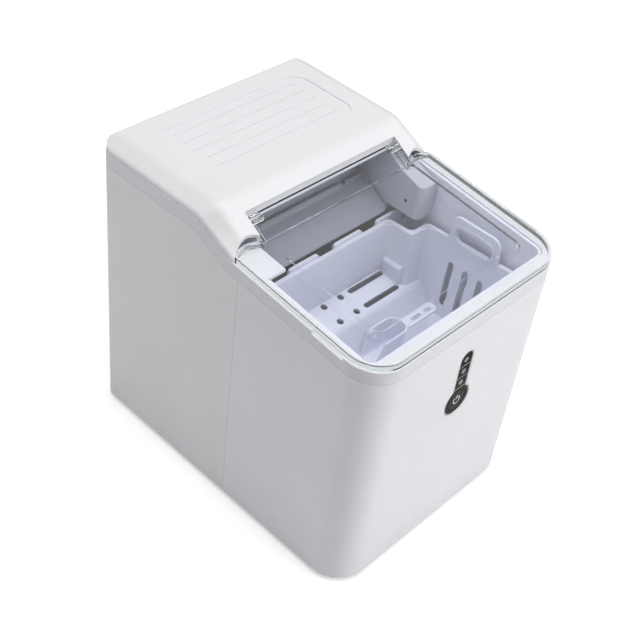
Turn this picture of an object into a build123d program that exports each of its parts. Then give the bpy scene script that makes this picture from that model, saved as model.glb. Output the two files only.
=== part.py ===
from build123d import *
from math import cos, radians, sin, tan
import os

# Countertop ice maker.  Millimetres, +Z up, the front faces -Y, and the origin is on the
# surface that the feet stand on, under the middle of the body.

# ------------------------------------------------------------------ driving sizes
width = 258.0
depth = 345.0
height = 325.0
front_round = 34.0
rear_round = 14.0
wall = 2.5
foot_height = 6.0
butt_gap = 0.3

# The shoulder line: level behind, a slope at the window, then the long rim under the lid.
rim_front_z = height - 49.0
rim_slope = 5.8
toe_y = 2.0
knee_y = 42.0
shoulder_z = height - 13.0
shoulder_round = 34.0
band_height = 13.0
rim_width = 10.0
rim_front_width = 14.5
grip_y = 54.5 - depth / 2
grip_length = 36.0
grip_reach = 4.6
grip_inner_drop = 1.4
grip_outer_drop = 3.4
land_x = -97.0
land_front_y = -37.0
panel_seam_y = -13.6

# Window in the top cover, and the lid that closes it
window_half = width / 2 - 32.5
window_top_y = 17.0
cheek_inner_y = -4.0
cheek_outer_y = -13.0
cheek_bulge = 4.5
cover_step = 0.8
cover_edge_round = 4.0
cover_rear_round = 6.0
cover_knee_round = 30.0
edge_knee_y = 42.0
edge_slope = 24.5
edge_drop = 8.0
brow_half = width / 2 - 17.0
brow_knee_y = 29.0
brow_slope = 30.0
brow_round = 18.0
lid_inset = 1.2
lid_wall = 2.4
lid_rise = 6.6
lid_seat_gap = 0.4
lid_side_gap = 1.0
panel_rise = 3.4
panel_bevel = 5.5
panel_front_y = 25.5 - depth / 2
hinge_y = 9.7
hinge_drop = 3.9
knuckle_radius = 3.3
hinge_pin_radius = 1.6
hinge_play = 0.1

# Water tub and everything that stands in it
tub_wall = 3.0
tub_floor_z = 34.0
tub_round = 12.0
tub_rear_y = 3.0
comb_top_z = height - 86.5
comb_gap_z = height - 103.0
comb_space = 20.5

basket_rim_z = height - 89.5
basket_rim_slope = 3.2
basket_wall = 2.0
basket_clearance = 5.2
basket_lip = 3.0
basket_draft = 3.5
basket_floor_z = height - 175.0
basket_shelf_z = height - 142.0
basket_notch_depth = 30.0
handle_top_z = height - 57.0
handle_y = 83.0 - depth / 2
handle_length = 58.0
handle_hole_length = 44.0
handle_hole_height = 17.0

# Freezing assembly behind the basket
housing_width = 23.0
housing_front_y = -30.0
housing_rear_y = 112.0
housing_bottom_z = height - 78.0
housing_low_z = height - 95.0
housing_round = 7.0
hanger_z = height - 23.0
hanger_spots = (62.0, 100.0)
hanger_radius = 4.5
holder_z = height - 52.0
holder_thickness = 2.0
sensor_y = -13.0
sensor_z = height - 63.0
sensor_radius = 2.0
motor_z = height - 63.0
motor_ear_reach = 28.0
axle_radius = 3.0
axle_clearance = 0.1
axle_play = 0.3
spindle_radius = 2.5
shovel_lip_y = 6.0
shovel_lip_z = height - 82.5
shovel_pivot_y = 45.0
shovel_pivot_z = height - 49.0
shovel_thickness = 2.2
tray_pivot_y = 74.0
tray_pivot_z = height - 78.0
tray_radius = 30.0
finger_length = 32.0
finger_radius = 5.0
hose_radius = 4.0
hose_bore = 2.6
hose_exit_z = height - 187.0
hose_high_y = 60.0
hose_high_z = height - 57.0
spout_radius = 8.5

# Fasteners
screw_radius = 1.5
screw_head = 2.0
thread_play = 0.02
rear_screw_z = (44.0, height / 2 - 6.5, height - 57.0)

# Cooling machinery in the rear compartment
compressor_y = 96.0
compressor_radius = 47.0
compressor_height = height - 207.0
coil_rows = 5
coil_low = 36.0
coil_margin = 12.0
coil_pitch = (height - 229.0) / (coil_rows - 1)
fan_z = coil_low + (coil_rows - 1) * coil_pitch / 2 + 2.0
fan_radius = min(46.0, fan_z - 40.0)
fan_shaft = 2.0
coil_radius = 3.2
suction_radius = 3.5
discharge_radius = 3.0
board_gap = 5.0
board_spots = ((46.0, 76.0), (46.0, 144.0), (124.0, 144.0))

# Control panel on the front
panel_circle_z = height - 149.4
panel_circle_radius = 16.0
panel_strip_width = 16.0
panel_top_z = height - 90.0
panel_trim_width = 1.6
button_radius = 11.5
button_play = 0.3
display_gap = 4.7
display_spots = ((-14.5, 50.0), (14.5, 50.0), (0.0, -22.0))

# ------------------------------------------------------------------ sizes that follow
half_w = width / 2
half_d = depth / 2
opening_half = half_w - rim_width
opening_front = -half_d + rim_front_width
opening_rear = half_d - 14.0
tub_half = opening_half - butt_gap
tub_front = opening_front + butt_gap
tub_inner = tub_half - tub_wall
basket_half = tub_inner - basket_clearance - basket_lip
basket_rear = tub_rear_y - tub_wall - 0.5 - basket_lip
basket_front = tub_front + tub_wall + basket_clearance + basket_lip
housing_outer = tub_inner - 1.5
housing_inner = housing_outer - housing_width
hanger_x = housing_inner + housing_width / 2
motor_face_x = housing_inner + 4.8
bracket_x = -housing_inner - 0.3
shovel_half = housing_inner - 2.5
tray_half = housing_inner - 15.2
tray_stub_end = housing_inner - 2.2
holder_half = housing_inner - 7.2
holder_screw_x = holder_half - 8.0
riser_x = holder_half - 22.0
comb_pitch = (2 * tub_inner + 6.6) / 4
comb_lug = comb_pitch - comb_space
rear_panel_half = half_w - rear_round - 1.0
rear_screw_x = rear_panel_half - 6.0
fan_y = (tub_rear_y + half_d) / 2 + 4.25
coil_x = half_w - 20.0
drier_y = half_d - 12.5
coil_reach = drier_y - fan_y - 3.9635
coil_half_y = coil_reach - coil_pitch / 2
fin_half = 9.0
shroud_x = coil_x - fin_half - 0.3
fan_rear_x = shroud_x - 28.0
compressor_x = compressor_radius + 36.0 - half_w
basin_z = compressor_height + 82.0
motor_ear_y = (tray_pivot_y - motor_ear_reach, tray_pivot_y + motor_ear_reach)
body_bottom = foot_height
base_top = foot_height + 3.0
far = 400.0

parts = {}


# ------------------------------------------------------------------ shared helpers
def plan(inset):
    """The body seen from above, inset all round: broad front corners and tight rear ones."""
    outline = Rectangle(width - 2 * inset, depth - 2 * inset)
    outline = fillet(outline.vertices().sort_by(Axis.Y)[-2:], max(rear_round - inset, 1.0))
    return fillet(outline.vertices().sort_by(Axis.Y)[:2], max(front_round - inset, 1.0))


def column(sketch, bottom, top):
    """A sketch raised from one height to another."""
    return extrude(Pos(0, 0, bottom) * sketch, top - bottom)


def side_form(points, half, rounds=()):
    """A closed side profile of (y, z) points carried across the body; rounds are (index, radius)."""
    face = make_face(Polyline(*points, close=True))
    for index, radius in rounds:
        corner = face.vertices().sort_by_distance(points[index])[0]
        face = fillet(corner, radius)
    return extrude(Plane.YZ * face, half, both=True)


def slab(x0, x1, y0, y1, z0, z1):
    """A rectangular block between two corners."""
    return Pos((x0 + x1) / 2, (y0 + y1) / 2, (z0 + z1) / 2) * Box(x1 - x0, y1 - y0, z1 - z0)


def rod(x0, x1, y, z, radius):
    """A round bar along X."""
    return Pos((x0 + x1) / 2, y, z) * Rot(0, 90, 0) * Cylinder(radius, x1 - x0)


def post(x, y, z0, z1, radius):
    """A round bar along Z."""
    return Pos(x, y, (z0 + z1) / 2) * Cylinder(radius, z1 - z0)


def tube_run(points, radius, bend):
    """A pipe along straight runs joined by bends."""
    path = FilletPolyline(*points, radius=bend)
    section = Plane(origin=path @ 0, z_dir=path % 0) * Circle(radius)
    return sweep(section, path=path)


def keep(name, *solids):
    """Store the solids of one node."""
    flat = [piece for solid in solids for piece in solid.solids()]
    parts[name] = Compound(children=flat) if len(flat) > 1 else flat[0]


def rim_z(y):
    """Height of the rim plane under the lid."""
    return rim_front_z + tan(radians(rim_slope)) * (y + half_d)


def under_shoulder(drop):
    """Everything below the shoulder line, lowered by a drop."""
    front = -half_d - 20
    rear = half_d + 20
    points = [
        (front, -20),
        (front, rim_z(front) - drop),
        (toe_y, rim_z(toe_y) - drop),
        (knee_y, shoulder_z - drop),
        (rear, shoulder_z - drop),
        (rear, -20),
    ]
    return side_form(points, half_w + 20, [(2, shoulder_round), (3, shoulder_round)])


# ------------------------------------------------------------------ top cover
def brow_z(y):
    """Height of the cover's middle surface, level behind its knee and sloping down to the window."""
    return min(height, height - (brow_knee_y - y) * tan(radians(brow_slope)))


def cover_profile(level, knee, slope, inset):
    """A side profile of the cover: level behind a rounded knee, sloping in front of it."""
    front = -40.0
    rear = half_d + 20
    slope_angle = radians(slope)
    bend = knee + (inset / cos(slope_angle) - inset) / tan(slope_angle)
    top = level - inset
    low = top - (bend - front) * tan(slope_angle)
    face = make_face(Polyline((front, 200), (front, low), (bend, top), (rear, top), (rear, 200), close=True))
    return fillet(face.vertices().sort_by_distance((bend, top))[0], cover_knee_round)


def cover_block(inset):
    """The solid under the cover's surface: a middle that frames the window, and a flank on each side."""
    middle_face = cover_profile(height, brow_knee_y, brow_slope, inset)
    edge_face = cover_profile(height - edge_drop, edge_knee_y, edge_slope, inset)
    edge_x = half_w - cover_step - inset
    block = extrude(Plane.YZ * middle_face, brow_half, both=True)
    flank_start = Pos(brow_half, 0, 0) * (Plane.YZ * middle_face)
    flank_end = Pos(edge_x, 0, 0) * (Plane.YZ * edge_face)
    flank = loft([flank_start, flank_end], ruled=True)
    return block + flank + mirror(flank, Plane.YZ)


def side_edges(block, x):
    """The long edges of the cover's surface at a distance either side of the middle."""
    found = []
    for edge in block.edges():
        middle = edge @ 0.5
        ends = (edge @ 0, edge @ 1)
        if all(abs(abs(point.X) - x) < 0.05 and point.Z > 202 for point in (*ends, middle)):
            if abs(ends[0].Y - ends[1].Y) > 1:
                found.append(edge)
    return found


def cover_form(inset):
    """Body form of the cover, with soft flanks, a crisp rear edge and the body's corners."""
    block = cover_block(inset)
    block = fillet(side_edges(block, brow_half), brow_round)
    block = fillet(side_edges(block, half_w - cover_step - inset), cover_edge_round - inset)
    along = Rectangle(2 * (half_d - cover_step - inset), 2 * (height - inset))
    along = fillet(along.vertices().group_by(Axis.Y)[-1].sort_by(Axis.X)[-1], cover_rear_round - inset)
    block = block & column(plan(cover_step + inset), 180, height + 5)
    return block & extrude(Plane.YZ * along, far, both=True)


def cheek_zone(shift):
    """The zone in front of the window and its curved cheeks, moved forward by a shift."""
    near = cheek_inner_y - shift
    reach = cheek_outer_y - 1.5 - shift
    edge = half_w + 5
    bulge_x = window_half + 13
    return make_face(
        [
            Line((-window_half, near), (window_half, near)),
            ThreePointArc((window_half, near), (bulge_x, near + cheek_bulge), (edge, reach)),
            Polyline((edge, reach), (edge, -half_d - 5), (-edge, -half_d - 5), (-edge, reach)),
            ThreePointArc((-edge, reach), (-bulge_x, near + cheek_bulge), (-window_half, near)),
        ]
    )


window_box = slab(-window_half, window_half, -60, window_top_y, 200, height + 5)
cheek_cut = column(cheek_zone(0.0), 200, height + 5)
cover_outer = cover_form(0.0)
cover = cover_outer - cover_form(wall)
skirt = slab(-window_half - wall, window_half + wall, -30, window_top_y + wall, 200, height)
skirt_floor = extrude(Plane.YZ * cover_profile(height, brow_knee_y, brow_slope, 11.0), half_w, both=True)
cover += (skirt & cover_outer) - skirt_floor
cover -= window_box
cover -= cheek_cut
cover -= under_shoulder(-0.2)

field_half = window_half - 3.0
field_front = 61.0
field_rear = 145.0
field_depth = 0.8
rib_pitch = 14.8
field = RectangleRounded(2 * field_half, field_rear - field_front, 17.0)
cover -= Pos(0, (field_front + field_rear) / 2, height - field_depth) * extrude(field, 5)
for row in range(5):
    groove = SlotOverall(2 * field_half - 33.0, 1.6)
    cover -= Pos(0, field_front + 13.5 + row * rib_pitch, height - field_depth - 0.5) * extrude(groove, 5)

hinge_z = brow_z(hinge_y) - hinge_drop
for side in (-1, 1):
    cover -= rod(side * window_half - 6, side * window_half + 6, hinge_y, hinge_z, hinge_pin_radius)

hangers = [(side * hanger_x, y, hanger_z) for side in (-1, 1) for y in hanger_spots]
hangers += [(side * holder_screw_x, hanger_spots[1], holder_z + holder_thickness) for side in (-1, 1)]
for x, y, seat_z in hangers:
    cover += post(x, y, seat_z, height - 1.5, hanger_radius)
    cover -= post(x, y, seat_z - 1, seat_z + 14.0, screw_radius + thread_play)
keep("top_cover", cover)

# ------------------------------------------------------------------ outer casing
def opening_plan():
    """The mouth over the ice basket, seen from above."""
    size_y = opening_rear - opening_front
    return Pos(0, (opening_front + opening_rear) / 2) * RectangleRounded(2 * opening_half, size_y, tub_round)


def finger_notch(side):
    """A notch in the outer edge of the frame, under the edge of the lid, with a floor that falls outward."""
    outline = Polyline(
        (half_w + 1.0, 5.0),
        (half_w - grip_reach, 5.0),
        (half_w - grip_reach, -grip_inner_drop),
        (half_w + 1.0, -grip_outer_drop),
        close=True,
    )
    tool = extrude(Plane.XZ * make_face(outline), grip_length / 2, both=True)
    tool = Pos(0, grip_y, rim_z(grip_y)) * Rot(rim_slope, 0, 0) * tool
    return tool if side > 0 else mirror(tool, Plane.YZ)


mid_frame = column(plan(0.0) - plan(wall), 200, height)
mid_frame = (mid_frame & under_shoulder(0.0)) - under_shoulder(band_height)
land = slab(-half_w, land_x, land_front_y, tub_rear_y, 200, height)
lip = column(plan(wall / 2) - opening_plan(), 200, height)
lip += land & column(plan(wall / 2), 200, height)
mid_frame += (lip & under_shoulder(0.0)) - under_shoulder(3.0)
backing = slab(half_w - 4.8, half_w - wall / 2, grip_y - 23, grip_y + 23, 200, height)
backing = (backing & under_shoulder(1.0)) - under_shoulder(9.0)
for side, rib in ((1, backing), (-1, mirror(backing, Plane.YZ))):
    mid_frame += rib
    mid_frame -= finger_notch(side)
keep("mid_frame", mid_frame)

shell = column(plan(0.0) - plan(wall), body_bottom, height) & under_shoulder(band_height + butt_gap)
front_shell = shell & slab(-far, far, -far, panel_seam_y - butt_gap / 2, 0, far)
rear_shell = shell & slab(-far, far, panel_seam_y + butt_gap / 2, far, 0, far)
rear_zone = slab(-rear_panel_half, rear_panel_half, 0, far, 0, far)
rear_panel = rear_shell & rear_zone
side_shell = rear_shell - slab(-rear_panel_half - butt_gap, rear_panel_half + butt_gap, 0, far, 0, far)
side_panels = side_shell.solids().sort_by(Axis.X)
left_side_panel = side_panels[0]
right_side_panel = side_panels[-1]

grille_slot = 4.0
grille_pitch = 9.0
grille_rows = 14
grille_length = 92.0
for row in range(grille_rows):
    row_z = fan_z - (grille_rows - 1) * grille_pitch / 2 + row * grille_pitch
    slot = extrude(Plane.YZ * SlotOverall(grille_length, grille_slot), 20)
    right_side_panel -= Pos(half_w - 10, fan_y, row_z) * slot
    back_slot = extrude(Plane.XZ * SlotOverall(0.8 * grille_length, grille_slot), 20, both=True)
    rear_panel -= Pos(-0.8 * grille_length / 2 - 8, half_d, row_z) * back_slot
    rear_panel -= Pos(0.8 * grille_length / 2 + 8, half_d, row_z) * back_slot

gland_x = 41.0 - half_w
gland_z = 34.0
gland_radius = 8.0
gland_bore = 4.0
rear_panel -= Pos(gland_x, half_d, gland_z) * Rot(90, 0, 0) * Cylinder(gland_radius, 12)

# Keyhole opening for the control panel, and the drain opening low on the right
strip_top = panel_top_z - panel_circle_z


def keyhole(grow):
    """The control panel's outline: a round head below and a narrow strip above it."""
    half = panel_strip_width / 2 + grow
    strip = Pos(0, strip_top / 2 - half / 2) * Rectangle(2 * half, strip_top - half + grow * 2)
    crown = Pos(0, strip_top - panel_strip_width / 2) * Circle(half)
    return strip + crown + Circle(panel_circle_radius + grow)


def on_front(sketch, y, thickness):
    """A sketch seen from the front, raised towards the back from its front face."""
    face = Plane(origin=(0, y, panel_circle_z), x_dir=(1, 0, 0), z_dir=(0, -1, 0)) * sketch
    return extrude(face, -thickness)


drain_y = 68.5 - half_d
drain_z = 48.0
drain_cap_radius = 11.5
front_shell -= on_front(keyhole(panel_trim_width + 0.1), -half_d - 1, wall + 2)
front_shell -= rod(half_w - 10, half_w + 10, drain_y, drain_z, drain_cap_radius + 0.8)
for x, z in display_spots:
    front_shell += on_front(Pos(x, z) * Circle(2.9), -half_d + wall - 0.5, display_gap + 0.5)
    front_shell -= on_front(Pos(x, z) * Circle(screw_radius + thread_play), -half_d + wall + 1.5, display_gap)

# Ledges for the basin, flanges behind the rear panel and the control board's bosses
rear_seat_y = half_d - 2.2
rear_pad_y = half_d - 4.3
inside = column(plan(wall / 2), 0, height)
flange = slab(rear_screw_x - 5, half_w, rear_pad_y - 3.1, rear_pad_y - butt_gap, 24, height - 40) & inside
ledge = slab(half_w - 9, half_w, 28, 114, basin_z - 4, basin_z) & inside
right_side_panel += flange + ledge
left_side_panel += mirror(flange + ledge, Plane.YZ)
for y, z in board_spots:
    left_side_panel += rod(-half_w + 1, -half_w + wall + board_gap, y, z, 3.5)
    boss_end = -half_w + wall + board_gap
    left_side_panel -= rod(-half_w + wall + 0.5, boss_end + 1, y, z, screw_radius + thread_play)
for x in (-rear_screw_x, rear_screw_x):
    for z in rear_screw_z:
        spot = Pos(x, rear_seat_y, z) * Rot(90, 0, 0)
        rear_panel += Pos(x, rear_pad_y + 1.5, z) * Rot(90, 0, 0) * Cylinder(5.5, 3.0)
        rear_panel -= Pos(x, rear_seat_y + 5, z) * Rot(90, 0, 0) * Cylinder(2 * screw_radius + 0.5, 10)
        rear_panel -= spot * Cylinder(screw_radius + 0.3, 20)
        tapped = spot * Cylinder(screw_radius + thread_play, 20)
        if x > 0:
            right_side_panel -= tapped
        else:
            left_side_panel -= tapped
keep("front_shell", front_shell)
keep("left_side_panel", left_side_panel)
keep("right_side_panel", right_side_panel)
keep("rear_panel", rear_panel)

base = column(plan(wall + butt_gap), body_bottom, base_top)
base += column(plan(wall + butt_gap) - plan(wall + butt_gap + 2.0), body_bottom, base_top + 8)
foot_x = half_w - 26.0
foot_front_y = -half_d + 36.0
foot_rear_y = half_d - 26.0
foot_spots = [(sx * foot_x, y) for sx in (-1, 1) for y in (foot_front_y, foot_rear_y)]
for row in range(7):
    vent = Pos(40, 60 + row * 11.0, body_bottom - 1) * extrude(SlotOverall(70, 5), 5)
    base -= vent
keep("base_tray", base)
feet = []
for x, y in foot_spots:
    foot = post(x, y, 0, foot_height, 9.5)
    feet.append(chamfer(foot.edges().group_by(Axis.Z)[0], 1.2))
keep("rubber_feet", *feet)

# ------------------------------------------------------------------ water tub, insulation
def tub_plan(inset, rear):
    """The tub seen from above, inset by its wall; its rear edge is at a given place."""
    half = tub_half - inset
    front = tub_front + inset
    outline = Pos(0, (front + rear) / 2) * Rectangle(2 * half, rear - front)
    corners = outline.vertices().sort_by(Axis.Y)
    outline = fillet(corners[:2], tub_round - inset)
    return fillet(outline.vertices().sort_by(Axis.Y)[-2:], 3.0)


tub_sink = 1.6
tub = column(tub_plan(0.0, tub_rear_y), tub_floor_z - tub_wall, height)
tub -= column(tub_plan(tub_wall, tub_rear_y - tub_wall), tub_floor_z, height)
tub = tub & under_shoulder(tub_sink)
flange = column(tub_plan(-5.0, tub_rear_y) - tub_plan(0.5, tub_rear_y - 1.0), 200, height)
flange = (flange & under_shoulder(3.0 + butt_gap)) - under_shoulder(5.0 + butt_gap)
flange &= slab(-far, far, -far, -20, 0, far)
tub += flange
tub -= slab(-half_w, land_x + 1, land_front_y - butt_gap, far, 200, height) - under_shoulder(3.0 + butt_gap)
rear_wall_zone = slab(-tub_inner, tub_inner, -1.0, tub_rear_y + 1, comb_gap_z, height)
tub -= rear_wall_zone
lug_face = RectangleRounded(comb_lug, 2 * (comb_top_z - comb_gap_z), 4.0)
for index in range(4):
    lug_x = (index - 1.5) * comb_pitch
    lug = extrude(Plane.XZ * (Pos(lug_x, comb_gap_z) * lug_face), -tub_wall)
    lug = Pos(0, tub_rear_y - tub_wall, 0) * lug
    tub += lug & slab(-tub_inner - 1, tub_inner + 1, -5, tub_rear_y, comb_gap_z - 4, height)

# Two ledges and a front shelf carry the basket, and the drain spout leaves on the right
basket_under_z = basket_floor_z - basket_wall
ledge_half = basket_half - (basket_rim_z - basket_floor_z) * tan(radians(basket_draft)) - 6.0
for side in (-1, 1):
    ledge = slab(ledge_half, tub_inner + 1, basket_front + 25, -72, basket_under_z - 6, basket_under_z)
    tub += ledge if side > 0 else mirror(ledge, Plane.YZ)
spout_end = half_w - 6.0
tub += rod(tub_inner + 1, spout_end, drain_y, drain_z, spout_radius)
tub -= rod(tub_inner - 1, spout_end + 1, drain_y, drain_z, 5.5)
hose_x = -tub_inner + 9.0
tub -= Pos(hose_x, tub_rear_y, hose_exit_z) * Rot(90, 0, 0) * Cylinder(hose_radius + 0.3, 20)
keep("inner_tub", tub)

# Foam boards fill the space between the tub and the walls: a floor, two sides and a front
foam_gap = 0.3
foam = column(plan(wall + 2.0 + 2 * butt_gap), base_top, height) & slab(-far, far, -far, tub_rear_y, 0, far)
foam -= rod(0, half_w, drain_y, drain_z, drain_cap_radius + 1.0)
foam -= slab(-22, 22, -far, tub_front + 1, panel_circle_z - 32, panel_top_z + 6)
foam &= under_shoulder(24.0)
foam_floor_z = tub_floor_z - tub_wall - foam_gap
foam_inner_x = tub_half + foam_gap
foam_inner_y = tub_front - foam_gap
floor_board = foam & slab(-far, far, -far, far, 0, foam_floor_z)
side_board = foam & slab(foam_inner_x, far, foam_inner_y, far, foam_floor_z, far)
left_board = foam & slab(-far, -foam_inner_x, foam_inner_y, far, foam_floor_z, far)
front_board = foam & slab(-far, far, -far, foam_inner_y, foam_floor_z, far)
keep("tub_insulation", floor_board, side_board, left_board, front_board)

# ------------------------------------------------------------------ ice basket and scoop
def basket_plan(half, front, rear, rounding):
    """The basket seen from above, with a notch at each rear corner."""
    step = housing_outer - housing_inner + 1.0
    inner = half - step
    notch_y = rear - basket_notch_depth
    outline = make_face(
        Polyline(
            (-half, front),
            (half, front),
            (half, notch_y),
            (inner, notch_y),
            (inner, rear),
            (-inner, rear),
            (-inner, notch_y),
            (-half, notch_y),
            close=True,
        )
    )
    return fillet(outline.vertices(), rounding)


def basket_floor(drop):
    """Everything below the basket's stepped floor, lowered by a drop."""
    points = [
        (-300, 0),
        (-300, basket_floor_z - drop),
        (-61, basket_floor_z - drop),
        (-42, basket_shelf_z - 6 - drop),
        (60, basket_shelf_z + 9 - drop),
        (60, 0),
    ]
    return side_form(points, 200, [(2, 9.0), (3, 13.0)])


def basket_rim_cut(rise):
    """Everything above the basket's rim, which climbs a little towards the front."""
    climb = tan(radians(basket_rim_slope))
    points = [
        (-300, basket_rim_z + rise + climb * 300),
        (60, basket_rim_z + rise - climb * 60),
        (60, 500),
        (-300, 500),
    ]
    return side_form(points, 200)


lean = (basket_rim_z - basket_floor_z) * tan(radians(basket_draft))
prism_base = basket_floor_z - 12.0
prism_top = basket_rim_z + 26.5
foot_inset = lean * (basket_rim_z - prism_base) / (basket_rim_z - basket_floor_z)


def basket_prism(inset):
    """The drafted body of the basket, inset by its wall."""
    sketch = basket_plan(
        basket_half - foot_inset - inset,
        basket_front + foot_inset + inset,
        basket_rear - foot_inset - inset,
        6.0 - inset,
    )
    return extrude(Pos(0, 0, prism_base) * sketch, prism_top - prism_base, taper=-basket_draft)


basket = (basket_prism(0.0) - basket_floor(basket_wall)) - basket_rim_cut(0.0)
basket -= basket_prism(basket_wall) - basket_floor(0.0)
lip_plan = basket_plan(basket_half + basket_lip, basket_front - basket_lip, basket_rear + basket_lip, 6.0)
lip_hole = basket_plan(basket_half - 1.0, basket_front + 1.0, basket_rear - 1.0, 5.0)
basket_lip_ring = column(lip_plan - lip_hole, 200, 300)
basket_lip_ring = (basket_lip_ring - basket_rim_cut(0.0)) & basket_rim_cut(-2.2)
basket += basket_lip_ring

handle_hole_z = handle_top_z - 18.5
grip_bottom = basket_rim_z - 3.5
for side in (-1, 1):
    grip_face = Pos(handle_y, (handle_top_z + grip_bottom) / 2) * RectangleRounded(
        handle_length, handle_top_z - grip_bottom, 10.0
    )
    grip = extrude(Plane.YZ * grip_face, 3.0)
    collar_face = Pos(handle_y, handle_hole_z) * SlotOverall(handle_hole_length + 6, handle_hole_height + 6)
    collar = extrude(Plane.YZ * collar_face, 4.6)
    grip_x = basket_half - 2.4
    hole = Pos(0, handle_y, handle_hole_z) * extrude(
        Plane.YZ * SlotOverall(handle_hole_length, handle_hole_height), 12, both=True
    )
    grip_solid = Pos(grip_x, 0, 0) * grip + Pos(grip_x - 0.8, 0, 0) * collar
    grip_solid -= Pos(grip_x, 0, 0) * hole
    if side < 0:
        grip_solid = mirror(grip_solid, Plane.YZ)
        hole = mirror(hole, Plane.YZ)
    basket += grip_solid
    basket -= Pos(side * grip_x, 0, 0) * hole

shelf_rows = (-13.0, -35.0)
for row_y in shelf_rows:
    slot = extrude(SlotOverall(50, 6.0), 40)
    basket -= Pos(50, row_y, basket_shelf_z - 25) * slot
    for column_index in range(4):
        basket -= post(14 - 23.0 * column_index, row_y, basket_shelf_z - 25, basket_shelf_z + 8, 3.6)
wall_slot_y = (handle_y + 18.5, handle_y + 0.5, handle_y - 17.5)
for slot_y in wall_slot_y:
    upright_slot = Pos(slot_y, basket_floor_z + 39) * Rot(0, 0, 90) * SlotOverall(53, 7.0)
    tall = extrude(Plane.YZ * upright_slot, 20)
    basket -= Pos(basket_half - 14, 0, 0) * tall
    basket -= mirror(Pos(basket_half - 14, 0, 0) * tall, Plane.YZ)
ledge_x = basket_half - (housing_outer - housing_inner + 1.0)
bump = slab(ledge_x - 9, ledge_x - 0.5, basket_rear - 30, basket_rear - 7, basket_shelf_z - 4,
            basket_shelf_z + 15)
bump = fillet(bump.edges().filter_by(Axis.Y).group_by(Axis.Z)[-1], 3.5)
basket += bump - basket_floor(1.0)
keep("ice_basket", basket)

# A small scoop with an open mouth on the left and a slotted handle, standing on the basket's floor
scoop_x = 9.0
scoop_y = -73.0
scoop_end = 30.0
scoop_mouth = -17.0
scoop_half = 13.5
scoop_depth = 29.0
scoop_wall = 1.6
scoop_handle = 47.0
scoop_handle_y = -4.0


def scoop_bowl(inset):
    """The scoop's round-backed bowl, inset by its wall."""
    half = scoop_half - inset
    sketch = fillet(Rectangle(2 * (scoop_end - inset), 2 * half).vertices().sort_by(Axis.X)[-2:], half - 0.5)
    bowl = Pos(0, 0, scoop_depth + 10) * Rot(180, 0, 0) * extrude(sketch, scoop_depth + 10 - inset, taper=6)
    return fillet(bowl.edges().group_by(Axis.Z)[0], 5.0 - inset)


scoop = scoop_bowl(0.0) - scoop_bowl(scoop_wall)
mouth_profile = make_face(
    Polyline(
        (-90, -5),
        (scoop_mouth, -5),
        (scoop_mouth + 9, scoop_depth),
        (scoop_mouth + 9, 60),
        (-90, 60),
        close=True,
    )
)
scoop -= extrude(Plane.XZ * mouth_profile, 60, both=True)
scoop -= slab(-200, 200, -60, 60, scoop_depth, 90)
handle_start = scoop_end - 6.0
handle_middle = handle_start + scoop_handle / 2
handle_face = Pos(handle_middle, scoop_handle_y) * RectangleRounded(scoop_handle, 13.0, 6.0)
handle_plate = column(handle_face, scoop_depth - 2.6, scoop_depth)
handle_plate -= scoop_bowl(scoop_wall)
for along, length in ((19.0, 14.0), (36.0, 9.0)):
    handle_plate -= column(Pos(handle_start + along, scoop_handle_y) * SlotOverall(length, 4.6), 0, 60)
scoop += handle_plate
keep("ice_scoop", Pos(scoop_x, scoop_y, basket_floor_z + butt_gap) * scoop)

# ------------------------------------------------------------------ clear lid on its hinge pins
def lid_outline(inset, rear_shift):
    """The lid seen from above: the body's outline in front of the cover's cheeks."""
    return plan(lid_inset + inset) & cheek_zone(rear_shift)


lid_top = lid_seat_gap + lid_rise
lid_half = window_half - lid_side_gap
lid_outer = column(lid_outline(0.0, 0.8), 200, height) & under_shoulder(-lid_top)
lid_outer -= under_shoulder(-lid_seat_gap)
lid_inner = column(lid_outline(lid_wall, 0.8 + lid_wall), 200, height)
lid_inner = lid_inner & under_shoulder(-lid_top + lid_wall)


def panel_loft(inset, drop):
    """The raised middle of the lid, a bevelled tray standing on the rim's slope."""
    lift = lid_top - 0.5 - drop
    frame = Plane(
        origin=(0, -half_d, rim_z(-half_d) + lift),
        x_dir=(1, 0, 0),
        z_dir=(0, -sin(radians(rim_slope)), cos(radians(rim_slope))),
    )
    rear = half_d + cheek_inner_y - 4.4
    front = half_d + panel_front_y
    base = Rectangle(2 * (lid_half + panel_bevel - inset), rear - front - inset)
    base = fillet(base.vertices().sort_by(Axis.Y)[:2], 14.0 - inset)
    top = Rectangle(2 * (lid_half - inset), rear - front - panel_bevel - inset)
    top = fillet(top.vertices().sort_by(Axis.Y)[:2], 14.0 - panel_bevel - inset)
    base = Pos(0, (rear + front + inset) / 2, 0) * base
    top = Pos(0, (rear + front + panel_bevel + inset) / 2, panel_rise + 0.5) * top
    return loft([frame * base, frame * top])


def window_strip(half, drop, thickness):
    """The lid's rear strip, which climbs the window's slope up to the hinge."""
    rise = tan(radians(brow_slope))
    rear = hinge_y + 3.2
    start = cheek_inner_y - 5.4
    top_rear = brow_z(rear) - drop
    top_start = top_rear - (rear - start) * rise
    points = [
        (start, top_start),
        (rear, top_rear),
        (rear, top_rear - thickness),
        (start, top_start - thickness),
    ]
    return side_form(points, half)


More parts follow.
